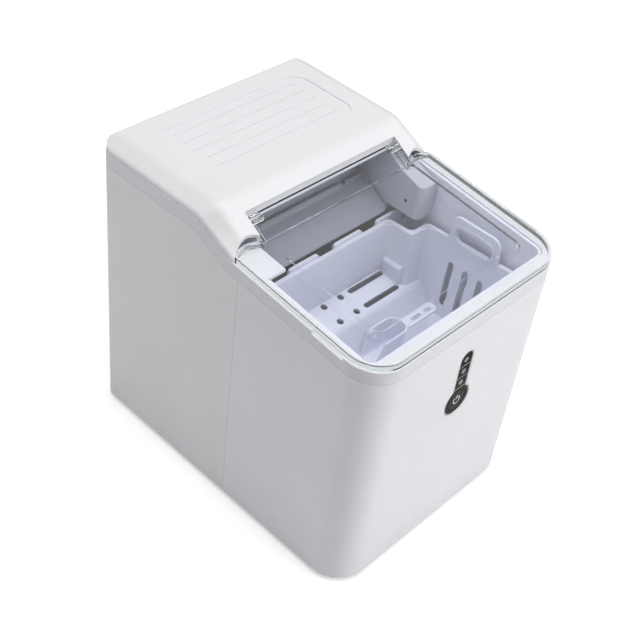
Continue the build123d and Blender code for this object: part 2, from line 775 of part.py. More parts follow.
lid = lid_outer - lid_inner
lid += panel_loft(0.0, 0.0)
lid -= panel_loft(lid_wall * 0.8, lid_wall)
lid += window_strip(lid_half, 0.3, lid_wall + 3.6)
lid -= window_strip(lid_half - lid_wall, 0.3 + lid_wall, 40)
knuckle_length = 13.0
for side in (-1, 1):
    ends = sorted((side * (lid_half - knuckle_length), side * lid_half))
    knuckle = rod(ends[0], ends[1], hinge_y, hinge_z, knuckle_radius)
    web = slab(
        ends[0], ends[1], hinge_y - knuckle_radius, hinge_y + knuckle_radius - 0.6,
        hinge_z, hinge_z + hinge_drop - 0.6,
    )
    lid += knuckle + web
    lid -= rod(side * lid_half - 12, side * lid_half + 12, hinge_y, hinge_z, hinge_pin_radius + hinge_play)
keep("lid", lid)
pins = []
for side in (-1, 1):
    ends = sorted((side * (lid_half - 9), side * (window_half + wall)))
    pins.append(rod(ends[0], ends[1], hinge_y, hinge_z, hinge_pin_radius))
keep("hinge_pins", *pins)

# ------------------------------------------------------------------ ice tray drive and brackets
housing_points = [
    (housing_front_y, housing_bottom_z),
    (housing_front_y, hanger_z - 19.0),
    (-23.0, hanger_z - 16.5),
    (-4.0, hanger_z - 10.5),
    (14.0, hanger_z),
    (housing_rear_y, hanger_z),
    (housing_rear_y, housing_low_z),
    (14.0, housing_low_z),
    (8.0, housing_bottom_z),
]


def housing_form(inner, outer, inset):
    """The motor housing between two X planes, its side profile inset by the wall."""
    face = make_face(Polyline(*housing_points, close=True))
    if inset:
        face = offset(face, -inset, kind=Kind.INTERSECTION)
    return Pos(inner, 0, 0) * extrude(Plane.YZ * face, outer - inner)


housing = housing_form(housing_inner, housing_outer, 0.0)
nose = [edge for edge in housing.edges().filter_by(Axis.Z) if (edge @ 0.5).Y < housing_front_y + 1]
near_nose = [edge for edge in nose if (edge @ 0.5).X < housing_inner + 1]
housing = fillet(near_nose, housing_round)
core = housing_form(housing_inner + wall, housing_outer + 5, wall)
core_nose = [edge for edge in core.edges().filter_by(Axis.Z) if (edge @ 0.5).Y < housing_front_y + wall + 1]
core_near = [edge for edge in core_nose if (edge @ 0.5).X < housing_inner + wall + 1]
housing -= fillet(core_near, housing_round - wall)
housing -= rod(housing_inner - 1, housing_inner + wall + 1, sensor_y, sensor_z, sensor_radius + 0.1)
housing -= rod(housing_inner - 1, housing_inner + wall + 1, tray_pivot_y, tray_pivot_z, spindle_radius + 1.5)
for ear_y in motor_ear_y:
    housing += rod(housing_inner + 1, motor_face_x, ear_y, motor_z, 4.0)
    housing -= rod(housing_inner + 0.8, motor_face_x + 1, ear_y, motor_z, screw_radius + 0.1)
for hanger_y in hanger_spots:
    housing -= post(hanger_x, hanger_y, hanger_z - 5, hanger_z + 5, screw_radius + 0.3)
housing += rod(shovel_half + axle_play, housing_inner + 1, shovel_pivot_y, shovel_pivot_z, 4.5)
housing += rod(shovel_half - 3.5, housing_inner + 1, shovel_pivot_y, shovel_pivot_z, axle_radius)
keep("motor_housing", housing)

sensor = rod(housing_inner + 0.4, housing_inner + 7, sensor_y, sensor_z, sensor_radius)
sensor += rod(housing_inner + wall + 0.1, housing_inner + wall + 1.6, sensor_y, sensor_z, 4.0)
keep("ice_sensor", sensor)

motor = rod(motor_face_x, motor_face_x + 15, tray_pivot_y, motor_z, 22.0)
motor = fillet(motor.edges().filter_by(GeomType.CIRCLE), 1.2)
ears = Pos(tray_pivot_y, motor_z) * SlotOverall(2 * motor_ear_reach + 8, 8.0)
motor += Pos(motor_face_x, 0, 0) * extrude(Plane.YZ * ears, 1.6)
motor += rod(motor_face_x - 1.5, motor_face_x + 1, tray_pivot_y, tray_pivot_z, 5.0)
motor -= rod(motor_face_x - 5, motor_face_x + 7, tray_pivot_y, tray_pivot_z, spindle_radius + 0.05)
for ear_y in motor_ear_y:
    motor -= rod(motor_face_x - 1, motor_face_x + 3, ear_y, motor_z, screw_radius + 0.3)
keep("gear_motor", motor)


def screw_up(x, y, seat_z, length):
    """A pan-head screw that is driven upwards against a seat."""
    head = post(x, y, seat_z - screw_head, seat_z, 2 * screw_radius)
    head = fillet(head.edges().group_by(Axis.Z)[0], 0.6)
    cross = slab(x - 1.7, x + 1.7, y - 0.35, y + 0.35, seat_z - screw_head, seat_z - screw_head + 0.8)
    cross += slab(x - 0.35, x + 0.35, y - 1.7, y + 1.7, seat_z - screw_head, seat_z - screw_head + 0.8)
    return head + post(x, y, seat_z, seat_z + length, screw_radius) - cross


motor_screws = []
for ear_y in motor_ear_y:
    upright = screw_up(0, 0, 0, 4.5)
    motor_screws.append(Pos(motor_face_x + 1.6, ear_y, motor_z) * Rot(0, -90, 0) * upright)
keep("motor_screws", *motor_screws)

bracket_left = bracket_x - 3.0
bracket_face = make_face(
    Polyline(
        (30, tray_pivot_z + 15),
        (30, hanger_z),
        (housing_rear_y, hanger_z),
        (housing_rear_y, tray_pivot_z + 3),
        (90, tray_pivot_z - 11),
        (60, tray_pivot_z - 11),
        close=True,
    )
)
bracket_face = fillet(bracket_face.vertices(), 6.0)
bracket = Pos(bracket_left, 0, 0) * extrude(Plane.YZ * bracket_face, 3.0)
bracket += slab(-hanger_x - 8, bracket_left + 1, 50, 108, hanger_z - 2.5, hanger_z)
for hanger_y in hanger_spots:
    bracket -= post(-hanger_x, hanger_y, hanger_z - 5, hanger_z + 5, screw_radius + 0.3)
bracket += rod(bracket_x - 1, -shovel_half - axle_play, shovel_pivot_y, shovel_pivot_z, 4.5)
bracket += rod(bracket_x - 1, -shovel_half + 3.5, shovel_pivot_y, shovel_pivot_z, axle_radius)
bracket += rod(bracket_x - 1, -tray_stub_end - axle_play, tray_pivot_y, tray_pivot_z, 5.5)
bracket += rod(bracket_x - 1, -tray_half - 2, tray_pivot_y, tray_pivot_z, axle_radius)
bracket -= rod(bracket_left - 5, bracket_x + 5, hose_high_y, hose_high_z, hose_radius + 0.3)
keep("pivot_bracket", bracket)

# ------------------------------------------------------------------ ice shovel
shovel_line = [
    (shovel_lip_y, shovel_lip_z),
    (34.0, shovel_pivot_z - 18.0),
    (41.0, shovel_pivot_z - 14.0),
    (42.0, shovel_pivot_z - 9.0),
]
shovel_path = Spline(*shovel_line, tangents=[(1.0, 0.555), (0.05, 1.0)])
shovel = extrude(Plane.YZ * trace(shovel_path, shovel_thickness), shovel_half, both=True)
ear_inner = shovel_half - 2.5
ear_head = Pos(shovel_pivot_y, shovel_pivot_z) * Circle(6.5)
ear_foot = Pos(37.5, shovel_pivot_z - 18) * Circle(4.0)
ear_face = make_hull(ear_head.edges() + ear_foot.edges())
for side in (-1, 1):
    ear = Pos(side * (ear_inner + 1.25), 0, 0) * extrude(Plane.YZ * ear_face, 1.25, both=True)
    shovel += ear
    shovel -= rod(side * ear_inner - 6, side * ear_inner + 6, shovel_pivot_y, shovel_pivot_z,
                  axle_radius + axle_clearance)
notch_x = shovel_half - 28.7
notch = slab(notch_x - 3, notch_x + 3, 30, 60, shovel_pivot_z - 12.5, shovel_pivot_z + 4)
shovel -= notch
bead = Plane.YZ * (Pos(shovel_lip_y + 0.4, shovel_lip_z - 0.9) * Circle(1.7))
shovel += extrude(bead, shovel_half - 3.0, both=True)
keep("ice_shovel", shovel)

# ------------------------------------------------------------------ swinging water tray
tray_face = Pos(tray_pivot_y, tray_pivot_z) * Circle(tray_radius)
tray = extrude(Plane.YZ * tray_face, tray_half, both=True)
tray_hollow = Pos(tray_pivot_y, tray_pivot_z) * Circle(tray_radius - 2)
tray -= extrude(Plane.YZ * tray_hollow, tray_half - 2, both=True)
tray -= slab(-far, far, 0, 200, tray_pivot_z, 400)
rim = Pos(tray_pivot_y, tray_pivot_z) * (Circle(tray_radius + 1.2) - Circle(tray_radius - 1))
tray_rim = extrude(Plane.YZ * rim, tray_half, both=True)
tray += tray_rim & slab(-far, far, 0, 200, tray_pivot_z - 3.0, tray_pivot_z)
for side in (-1, 1):
    ends = sorted((side * (tray_half - 2), side * tray_half))
    tray += rod(ends[0], ends[1], tray_pivot_y, tray_pivot_z, 8.0)
    ends = sorted((side * (tray_half - 1), side * tray_stub_end))
    tray += rod(ends[0], ends[1], tray_pivot_y, tray_pivot_z, 5.5)
tray -= rod(-tray_half - 40, -tray_half - 1.5, tray_pivot_y, tray_pivot_z, axle_radius + axle_clearance)
tray -= rod(tray_half - 0.5, tray_half + 40, tray_pivot_y, tray_pivot_z, spindle_radius + thread_play)
for index in range(5):
    rib_x = (index - 2) * tray_half / 3
    ring = Pos(tray_pivot_y, tray_pivot_z) * (Circle(tray_radius + 0.8) - Circle(tray_radius - 1))
    rib = Pos(rib_x, 0, 0) * extrude(Plane.YZ * ring, 0.8, both=True)
    tray += rib & slab(-far, far, 0, 200, 0, tray_pivot_z - 3.0)
keep("water_tray", tray)
keep("tray_spindle", rod(tray_half - 0.5, motor_face_x + 6.5, tray_pivot_y, tray_pivot_z, spindle_radius))

# ------------------------------------------------------------------ evaporator and its bracket
evaporator_z = tray_pivot_z + 15.0
tube_half = 10.0
turn_x = riser_x - 8.0
riser_top = height - 41.0
finger_pitch = (riser_x - 12.0) / 2
evaporator_path = [
    (riser_x, tray_pivot_y - tube_half, riser_top),
    (riser_x, tray_pivot_y - tube_half, evaporator_z),
    (-turn_x - tube_half, tray_pivot_y - tube_half, evaporator_z),
    (-turn_x - tube_half, tray_pivot_y + tube_half, evaporator_z),
    (riser_x, tray_pivot_y + tube_half, evaporator_z),
    (riser_x, tray_pivot_y + tube_half, riser_top),
]
evaporator = tube_run(evaporator_path, finger_radius, tube_half - 0.6)
finger_tip = finger_radius - 1.0
for row, count in ((-1, 5), (1, 4)):
    for index in range(count):
        finger_x = (index - (count - 1) / 2) * finger_pitch
        shank = finger_length - finger_tip
        finger = Pos(finger_x, tray_pivot_y + row * tube_half, evaporator_z - shank / 2) * Cone(
            finger_tip, finger_radius, shank
        )
        tip = Pos(finger_x, tray_pivot_y + row * tube_half, evaporator_z - shank) * Sphere(finger_tip)
        evaporator += finger + tip
keep("evaporator", evaporator)

holder = slab(-holder_half, holder_half, 46, housing_rear_y, holder_z, holder_z + holder_thickness)
holder += slab(-holder_half, holder_half, 46, 48, holder_z - 11, holder_z + holder_thickness)
for x in (-44, 0, 44):
    saddle = slab(x - 3, x + 3, 57, 91, evaporator_z, holder_z)
    for row in (-1, 1):
        saddle -= rod(x - 5, x + 5, tray_pivot_y + row * tube_half, evaporator_z, finger_radius + 0.05)
    holder += saddle
for row in (-1, 1):
    holder -= Pos(riser_x, tray_pivot_y + row * tube_half, holder_z) * Cylinder(finger_radius + 2, 12)
for x in (-holder_screw_x, holder_screw_x):
    holder -= post(x, hanger_spots[1], holder_z - 5, holder_z + 5, screw_radius + 0.3)
keep("evaporator_bracket", holder)

hanger_screws = []
for hanger_y in hanger_spots:
    hanger_screws.append(screw_up(hanger_x, hanger_y, hanger_z - wall, 14.0))
    hanger_screws.append(screw_up(-hanger_x, hanger_y, hanger_z - wall, 14.0))
for x in (-holder_screw_x, holder_screw_x):
    hanger_screws.append(screw_up(x, hanger_spots[1], holder_z, 14.0))
keep("hanger_screws", *hanger_screws)

# ------------------------------------------------------------------ return basin under the tray
basin_left = 1.2 - housing_inner
basin_right = housing_inner - 3.2
basin_front = tub_rear_y + butt_gap
basin = slab(basin_left, basin_right, basin_front, 116, basin_z, basin_z + 36)
basin = fillet(basin.edges().filter_by(Axis.Z), 8.0)
basin_floor_z = basin_z + wall
hollow = slab(
    basin_left + wall, basin_right - wall, basin_front + wall, 116 - wall, basin_floor_z, basin_z + 60
)
basin -= fillet(hollow.edges().filter_by(Axis.Z), 8.0 - wall)
basin -= slab(basin_left + 12, basin_right - 12, 0, 12, comb_gap_z, basin_z + 60)
for side in (-1, 1):
    inside = basin_left + 1 if side < 0 else basin_right - 1
    ends = sorted((inside, side * (half_w - wall - butt_gap)))
    basin += slab(ends[0], ends[1], 24, 118, basin_z, basin_z + wall)
keep("return_basin", basin)

# ------------------------------------------------------------------ pump, hose and float in the tub
pump_y = -24.0
pump_rise = 32.0
pump = slab(hose_x - 6, hose_x + 24, pump_y - 13, pump_y + 13, tub_floor_z, tub_floor_z + pump_rise)
pump = fillet(pump.edges().filter_by(Axis.Z), 6.0)
pump = fillet(pump.edges().group_by(Axis.Z)[-1], 2.5)
pump += post(hose_x, pump_y, tub_floor_z + pump_rise - 2, tub_floor_z + pump_rise + 10, hose_bore - 0.05)
for row in range(4):
    slot_z = tub_floor_z + 4 + row * 4.0
    pump -= slab(hose_x + 4, hose_x + 20, pump_y - 15, pump_y - 11, slot_z, slot_z + 1.8)
keep("water_pump", pump)

hose_points = [
    (hose_x, pump_y, tub_floor_z + pump_rise),
    (hose_x, pump_y, hose_exit_z),
    (hose_x, 14.0, hose_exit_z),
    (hose_x, 14.0, hose_high_z),
    (hose_x, hose_high_y, hose_high_z),
    (-tray_half + 4.0, hose_high_y, hose_high_z),
]
hose = tube_run(hose_points, hose_radius, 9.0)
hose -= tube_run(hose_points, hose_bore, 9.0)
keep("pump_hose", hose)

float_x = 24.0
stem_top = tub_floor_z + 42.0
stem = post(float_x, pump_y, tub_floor_z, stem_top, 2.0)
stem += post(float_x, pump_y, tub_floor_z, tub_floor_z + 2.0, 8.0)
stem += post(float_x, pump_y, stem_top - 1.5, stem_top, 4.0)
keep("float_stem", stem)
buoy = post(float_x, pump_y, tub_floor_z + 2.3, tub_floor_z + 18, 11.0)
buoy = fillet(buoy.edges().filter_by(GeomType.CIRCLE), 2.5)
keep("float", buoy - post(float_x, pump_y, 0, 200, 2.3))

# ------------------------------------------------------------------ drain cap
cap_inner = tub_half + 0.5
cap_floor = spout_end + 1.2
cap = rod(cap_inner, half_w - 0.4, drain_y, drain_z, drain_cap_radius)
cap = fillet(cap.edges().filter_by(GeomType.CIRCLE).group_by(Axis.X)[-1], 1.0)
cap -= rod(cap_inner - 1, cap_floor, drain_y, drain_z, spout_radius + 0.2)
bar = slab(half_w - 3.4, half_w, drain_y - 12, drain_y + 12, drain_z - 12, drain_z + 12)
bar -= slab(half_w - 4, half_w + 1, drain_y - 12, drain_y + 12, drain_z - 1.8, drain_z + 1.8)
cap -= bar & rod(half_w - 5, half_w + 1, drain_y, drain_z, drain_cap_radius - 2.0)
for step in range(24):
    angle = step * 15.0
    flute = Pos(0, drain_y, drain_z) * Rot(angle, 0, 0) * Pos(half_w - 5, drain_cap_radius + 0.5, 0)
    cap -= flute * Rot(0, 90, 0) * Cylinder(0.9, 20)
keep("drain_cap", cap)
seal = rod(spout_end, cap_floor, drain_y, drain_z, spout_radius)
keep("drain_seal", seal - rod(spout_end - 1, cap_floor + 1, drain_y, drain_z, 4.5))

# ------------------------------------------------------------------ compressor and condenser
can_bottom = base_top + 15.0
can_top = can_bottom + compressor_height
can_profile = make_face(
    Polyline(
        (0, can_bottom),
        (compressor_radius, can_bottom),
        (compressor_radius, can_top),
        (0, can_top),
        close=True,
    )
)
outer_corners = can_profile.vertices().sort_by(Axis.X)[-2:]
can_profile = fillet(outer_corners, 24.0)
compressor = revolve(Plane.XZ * can_profile, Axis.Z)
compressor += Pos(0, 0, can_top - 30) * Cylinder(compressor_radius + 1.6, 3.0)
leg_reach = 40.0
legs = RectangleRounded(2 * leg_reach + 20, 2 * leg_reach + 20, 10.0)
legs -= RectangleRounded(2 * leg_reach - 24, 2 * leg_reach - 24, 10.0)
compressor += column(legs, can_bottom - 3.0, can_bottom)
compressor += column(Circle(30), can_bottom - 3.0, can_bottom + 4)
compressor += column(Rectangle(2 * leg_reach, 18), can_bottom - 3.0, can_bottom)
line_top = can_top + 8.0
compressor += post(26, 0, can_top - 14, line_top, suction_radius)
compressor += post(0, -30, can_top - 14, line_top, discharge_radius)
for sx in (-1, 1):
    for sy in (-1, 1):
        compressor -= post(sx * leg_reach, sy * leg_reach, can_bottom - 6, can_bottom + 0.1, 4.3)
keep("compressor", Pos(compressor_x, compressor_y, 0) * compressor)

grommets = []
for sx in (-1, 1):
    for sy in (-1, 1):
        x = compressor_x + sx * leg_reach
        y = compressor_y + sy * leg_reach
        ring = post(x, y, base_top, can_bottom - 3.0, 8.0) + post(x, y, can_bottom - 4, can_bottom + 2, 4.0)
        grommets.append(ring - post(x, y, 0, 100, 2.6))
keep("compressor_grommets", *grommets)

terminal = slab(-20, 20, -compressor_radius - 13, -compressor_radius + 8, 62, 104)
terminal = fillet(terminal.edges().filter_by(Axis.Z), 4.0)
terminal -= post(0, 0, 0, 200, compressor_radius + butt_gap)
keep("terminal_cover", Pos(compressor_x, compressor_y, 0) * terminal.solids().sort_by(Axis.Y)[0])

coil_turn = coil_pitch / 2 - 0.1
coil_points = []
for row in range(coil_rows):
    row_z = coil_low + (coil_rows - 1 - row) * coil_pitch
    way = 1 if row % 2 == 0 else -1
    coil_points.append((coil_x, fan_y - way * coil_reach, row_z))
    coil_points.append((coil_x, fan_y + way * coil_reach, row_z))
coil_in = coil_points[0]
coil_out = coil_points[-1]
keep("condenser_tube", tube_run(coil_points, coil_radius, coil_turn))

fin_near = coil_x - fin_half
fin_far = coil_x + fin_half
fin_low = coil_low - coil_margin
fin_high = coil_low + (coil_rows - 1) * coil_pitch + coil_margin
fins = slab(fin_near, fin_far, fan_y - coil_half_y, fan_y + coil_half_y, fin_low, fin_low + 1)
fins += slab(fin_near, fin_far, fan_y - coil_half_y, fan_y + coil_half_y, fin_high - 1, fin_high)
fin_count = 17
for index in range(fin_count):
    fin_y = fan_y - coil_half_y + index * (2 * coil_half_y - 0.8) / (fin_count - 1)
    foot_z = base_top if index in (0, fin_count - 1) else fin_low
    fins += slab(fin_near, fin_far, fin_y, fin_y + 0.8, foot_z, fin_high)
for row in range(coil_rows):
    row_bore = Pos(coil_x, fan_y, coil_low + row * coil_pitch) * Rot(90, 0, 0)
    fins -= row_bore * Cylinder(coil_radius + 0.05, 2 * coil_half_y + 10)
keep("condenser_fins", fins)

# ------------------------------------------------------------------ fan
ring_inner = fan_radius + 2.5
shroud = slab(shroud_x - 3, shroud_x, fan_y - 60, fan_y + 60, base_top, fin_high)
shroud = fillet(shroud.edges().filter_by(Axis.X).group_by(Axis.Z)[-1], 8.0)
shroud += rod(fan_rear_x + 0.3, shroud_x - 1, fan_y, fan_z, ring_inner + 2.5)
shroud -= rod(fan_rear_x + 3.3, shroud_x + 1, fan_y, fan_z, ring_inner)
windows = Circle(ring_inner) - Circle(20)
windows -= Rectangle(7, 200) + Rectangle(200, 7)
window_cut = extrude(Plane.YZ * (Pos(fan_y, fan_z) * windows), 20)
shroud -= Pos(fan_rear_x - 12, 0, 0) * window_cut
shroud -= rod(fan_rear_x - 12, fan_rear_x + 8, fan_y, fan_z, 4.0)
shroud += slab(shroud_x - 14, shroud_x - 2, fan_y - 60, fan_y - 40, base_top, base_top + 3)
shroud += slab(shroud_x - 14, shroud_x - 2, fan_y + 40, fan_y + 60, base_top, base_top + 3)
keep("fan_shroud", shroud)

fan_motor = rod(fan_rear_x - 21.7, fan_rear_x, fan_y, fan_z, 18.0)
fan_motor = fillet(fan_motor.edges().filter_by(GeomType.CIRCLE), 2.0)
fan_motor -= rod(fan_rear_x - 11.7, fan_rear_x + 8, fan_y, fan_z, fan_shaft + 0.05)
keep("fan_motor", fan_motor)

hub_radius = 13.0
fan = rod(fan_rear_x + 6.8, fan_rear_x + 20.3, fan_y, fan_z, hub_radius)
fan = fillet(fan.edges().filter_by(GeomType.CIRCLE).group_by(Axis.X)[-1], 3.0)
fan += rod(fan_rear_x - 10.7, fan_rear_x + 8, fan_y, fan_z, fan_shaft)
blade_outline = Pos(0, (hub_radius + fan_radius) / 2 - 1) * Rectangle(26, fan_radius - hub_radius + 2)
blade_outline = fillet(blade_outline.vertices().sort_by(Axis.Y)[-2:], 10.0)
blade = extrude(Plane(origin=(0, 0, 0), x_dir=(0, 1, 0), z_dir=(1, 0, 0)) * blade_outline, 0.9, both=True)
blade = Rot(0, 0, 24) * blade
blade &= rod(-6, 6, 0, 0, fan_radius)
for index in range(7):
    fan += Pos(fan_rear_x + 13.6, fan_y, fan_z) * Rot(index * 360 / 7, 0, 0) * blade
keep("fan_blade", fan)

# ------------------------------------------------------------------ refrigerant lines
drier_x = 20.0
suction_x = compressor_x + 26
discharge_y = compressor_y - 30
suction_points = [
    (riser_x, tray_pivot_y + tube_half, riser_top + 0.1),
    (riser_x, tray_pivot_y + tube_half, height - 27),
    (riser_x, drier_y - 30, height - 27),
    (riser_x, drier_y - 30, line_top + 14),
    (suction_x, drier_y - 30, line_top + 14),
    (suction_x, compressor_y, line_top + 14),
    (suction_x, compressor_y, line_top),
]
keep("suction_line", tube_run(suction_points, suction_radius, 5.5))
discharge_points = [
    (compressor_x, discharge_y, line_top),
    (compressor_x, discharge_y, line_top + 22),
    (coil_x, discharge_y, line_top + 22),
    (coil_x, coil_in[1] - 12, line_top + 22),
    (coil_x, coil_in[1] - 12, coil_in[2]),
    (coil_x, coil_in[1], coil_in[2]),
]
keep("discharge_line", tube_run(discharge_points, discharge_radius, 5.5))
drier = post(drier_x, drier_y, 66, 116, 7.0)
drier = fillet(drier.edges().filter_by(GeomType.CIRCLE), 4.0)
drier += post(drier_x, drier_y, 60, 68, discharge_radius)
drier += post(drier_x, drier_y, 114, 122, 2.2)
keep("filter_drier", drier)
liquid_points = [
    (coil_x, coil_out[1], coil_out[2]),
    (coil_x, drier_y, coil_out[2]),
    (drier_x, drier_y, coil_out[2]),
    (drier_x, drier_y, 60),
]
keep("liquid_line", tube_run(liquid_points, discharge_radius, 3.5))
capillary_points = [
    (drier_x, drier_y, 122),
    (drier_x, drier_y, height - 17),
    (riser_x, drier_y - 20, height - 17),
    (riser_x, tray_pivot_y - tube_half, height - 17),
    (riser_x, tray_pivot_y - tube_half, riser_top + 0.1),
]
keep("capillary", tube_run(capillary_points, 1.3, 6.0))

# ------------------------------------------------------------------ control board
board_x = -half_w + wall + board_gap
board = slab(board_x, board_x + 1.6, 40, 130, 70, 150)
board += slab(board_x + 1, board_x + 21, 50, 76, 96, 126)
board += rod(board_x + 1, board_x + 18, 92, 132, 7.0)
board += rod(board_x + 1, board_x + 14, 110, 136, 5.0)
board += slab(board_x + 1, board_x + 15, 88, 106, 80, 98)
board += slab(board_x + 1, board_x + 10, 112, 124, 76, 106)
for y, z in board_spots:
    board -= rod(board_x - 5, board_x + 5, y, z, screw_radius + 0.3)
keep("control_board", board)
board_screws = []
for y, z in board_spots:
    board_screws.append(Pos(board_x + 1.6, y, z) * Rot(0, -90, 0) * screw_up(0, 0, 0, 5.5))
keep("board_screws", *board_screws)

# ------------------------------------------------------------------ front control panel
lens_face = -half_d + 0.4
lens_thick = 2.3
lens = on_front(keyhole(-0.1), lens_face, lens_thick)
lens -= on_front(Circle(button_radius + button_play), lens_face - 1, 10)
keep("panel_lens", lens)
trim = on_front(keyhole(panel_trim_width) - keyhole(0.0), -half_d, wall)
trim = chamfer(trim.edges().group_by(Axis.Y)[0], 0.3)
keep("panel_trim", trim)

button_face = lens_face - 0.1
button = on_front(Circle(button_radius), button_face, lens_thick + 0.5)
button = fillet(button.edges().group_by(Axis.Y)[0], 0.8)
flange_y = lens_face + lens_thick + 0.3
button += on_front(Circle(button_radius + 1.6), flange_y, 0.8)
button += on_front(Circle(2.0), flange_y, 1.5)
keep("power_button", button)

board_y = -half_d + wall + display_gap
display_sketch = Pos(0, 14) * RectangleRounded(38, 84, 3)
display = on_front(display_sketch, board_y, 1.6)
display += on_front(Rectangle(6, 6), board_y - 1.8, 2.0)
for x, z in display_spots:
    display -= on_front(Pos(x, z) * Circle(1.5), board_y - 5, 12)
keep("display_board", display)
display_screws = []
for x, z in display_spots:
    upright = screw_up(0, 0, 0, 3.8)
    display_screws.append(Pos(x, board_y + 1.6, panel_circle_z + z) * Rot(90, 0, 0) * upright)
keep("display_screws", *display_screws)
leds = []
for led_z in (18.6, 32.4, 46.2):
    led = on_front(Pos(0, led_z) * Circle(1.6), board_y - 3.2, 3.2)
    leds.append(fillet(led.edges().group_by(Axis.Y)[0], 0.7))
keep("indicator_leds", *leds)

# ------------------------------------------------------------------ cord inlet and rear screws
gland = Pos(gland_x, half_d - 2.5, gland_z) * Rot(90, 0, 0) * Cylinder(gland_radius - 0.2, 5)
gland += Pos(gland_x, half_d - wall - 1.5, gland_z) * Rot(90, 0, 0) * Cylinder(gland_radius + 2.5, 2.4)
gland -= Pos(gland_x, half_d, gland_z) * Rot(90, 0, 0) * Cylinder(gland_bore, 40)
keep("cord_gland", gland)
rear_screws = []
for x in (-rear_screw_x, rear_screw_x):
    for z in rear_screw_z:
        rear_screws.append(Pos(x, rear_seat_y, z) * Rot(90, 0, 0) * screw_up(0, 0, 0, 5.0))
keep("rear_screws", *rear_screws)

os.makedirs("parts", exist_ok=True)
for name, solid in parts.items():
    export_step(solid, f"parts/{name}.step")
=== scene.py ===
import bpy
import math
import numpy as np
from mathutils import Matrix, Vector


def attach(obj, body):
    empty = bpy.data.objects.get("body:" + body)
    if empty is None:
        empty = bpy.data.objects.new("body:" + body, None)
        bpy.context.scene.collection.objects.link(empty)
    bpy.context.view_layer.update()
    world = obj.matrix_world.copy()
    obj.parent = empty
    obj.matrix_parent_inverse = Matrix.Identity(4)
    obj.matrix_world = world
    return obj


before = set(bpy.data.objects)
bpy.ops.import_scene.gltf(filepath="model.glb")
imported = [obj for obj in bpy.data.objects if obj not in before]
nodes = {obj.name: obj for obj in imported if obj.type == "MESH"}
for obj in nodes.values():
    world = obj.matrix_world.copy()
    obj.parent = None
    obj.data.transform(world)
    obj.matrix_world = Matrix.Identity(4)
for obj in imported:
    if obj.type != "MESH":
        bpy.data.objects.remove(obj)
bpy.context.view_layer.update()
scene = bpy.context.scene

# ---------------------------------------------------------------- camera
# A short telephoto that looks down over the left front corner, rolled a little.
# It stands about 1.15 m from the machine's middle, so the uprights close towards the floor.
camera_data = bpy.data.cameras.new("camera")
camera_data.lens = 66.13
camera_data.sensor_width = 36.0
camera = bpy.data.objects.new("camera", camera_data)
scene.collection.objects.link(camera)
camera.location = (-0.67033, -0.54424, 0.91923)
camera.rotation_euler = [math.radians(a) for a in (48.0772, -5.9944, -45.7317)]
scene.camera = camera
scene.view_settings.view_transform = "Standard"


# ---------------------------------------------------------------- floor and background
# A white matt table that keeps the machine's shadow, under a white surround.  A glow that only the
# camera sees fades the table into it.  The surround is white where the camera sees it, straight or
# by way of gloss and the clear lid, and elsewhere it is a soft fill light.
def srgb(text):
    """An sRGB hex colour as linear red, green, blue and alpha."""
    values = [int(text[i:i + 2], 16) / 255 for i in (1, 3, 5)]
    linear = [v / 12.92 if v <= 0.04045 else ((v + 0.055) / 1.055) ** 2.4 for v in values]
    return (*linear, 1.0)


def add_node(tree, kind, **inputs):
    """One shader node: attributes are set by name, and sockets take a value or a link."""
    node = tree.nodes.new(kind)
    for key, value in inputs.items():
        name = key.replace("_", " ")
        if name not in node.inputs:
            setattr(node, key, value)
        elif isinstance(value, bpy.types.NodeSocket):
            tree.links.new(value, node.inputs[name])
        else:
            node.inputs[name].default_value = value
    return node


def new_material(name):
    """An empty node material with its tree and its output node."""
    material = bpy.data.materials.new(name)
    material.use_nodes = True
    material.node_tree.nodes.clear()
    return material, material.node_tree, material.node_tree.nodes.new("ShaderNodeOutputMaterial")


def surface(tree, output, shader):
    """Makes a shader the surface of a material or of the world."""
    tree.links.new(shader.outputs[0], output.inputs["Surface"])


def blend(tree, factor, first, second):
    """Two shaders mixed by a factor, which is a number or a socket."""
    mix = add_node(tree, "ShaderNodeMixShader", Fac=factor)
    tree.links.new(first.outputs[0], mix.inputs[1])
    tree.links.new(second.outputs[0], mix.inputs[2])
    return mix


def link_object(name, mesh):
    """A new object in the scene that holds a mesh or a lamp."""
    thing = bpy.data.objects.new(name, mesh)
    scene.collection.objects.link(thing)
    return thing


table_half = 6.0
table_corners = [(x * table_half, y * table_half, 0) for x, y in ((-1, -1), (1, -1), (1, 1), (-1, 1))]
table_mesh = bpy.data.meshes.new("table")
table_mesh.from_pydata(table_corners, [], [(0, 1, 2, 3)])
table = link_object("table", table_mesh)
table_paint, tree, output = new_material("table_matt_white")
path = add_node(tree, "ShaderNodeLightPath")
matt = add_node(tree, "ShaderNodeBsdfDiffuse", Color=srgb("#F8F8F8"))
place = add_node(tree, "ShaderNodeTexCoord")
away = add_node(tree, "ShaderNodeVectorMath", operation="LENGTH", Vector=place.outputs["Object"])
reach = add_node(
    tree, "ShaderNodeMapRange", interpolation_type="SMOOTHSTEP", Value=away.outputs["Value"],
    From_Min=0.35, From_Max=1.1, To_Min=0.45, To_Max=1.0,
)
glow = add_node(tree, "ShaderNodeEmission", Color=(1, 1, 1, 1), Strength=reach.outputs["Result"])
lit = tree.nodes.new("ShaderNodeAddShader")
tree.links.new(matt.outputs[0], lit.inputs[0])
tree.links.new(glow.outputs[0], lit.inputs[1])
surface(tree, output, blend(tree, path.outputs["Is Camera Ray"], matt, lit))
table.data.materials.append(table_paint)

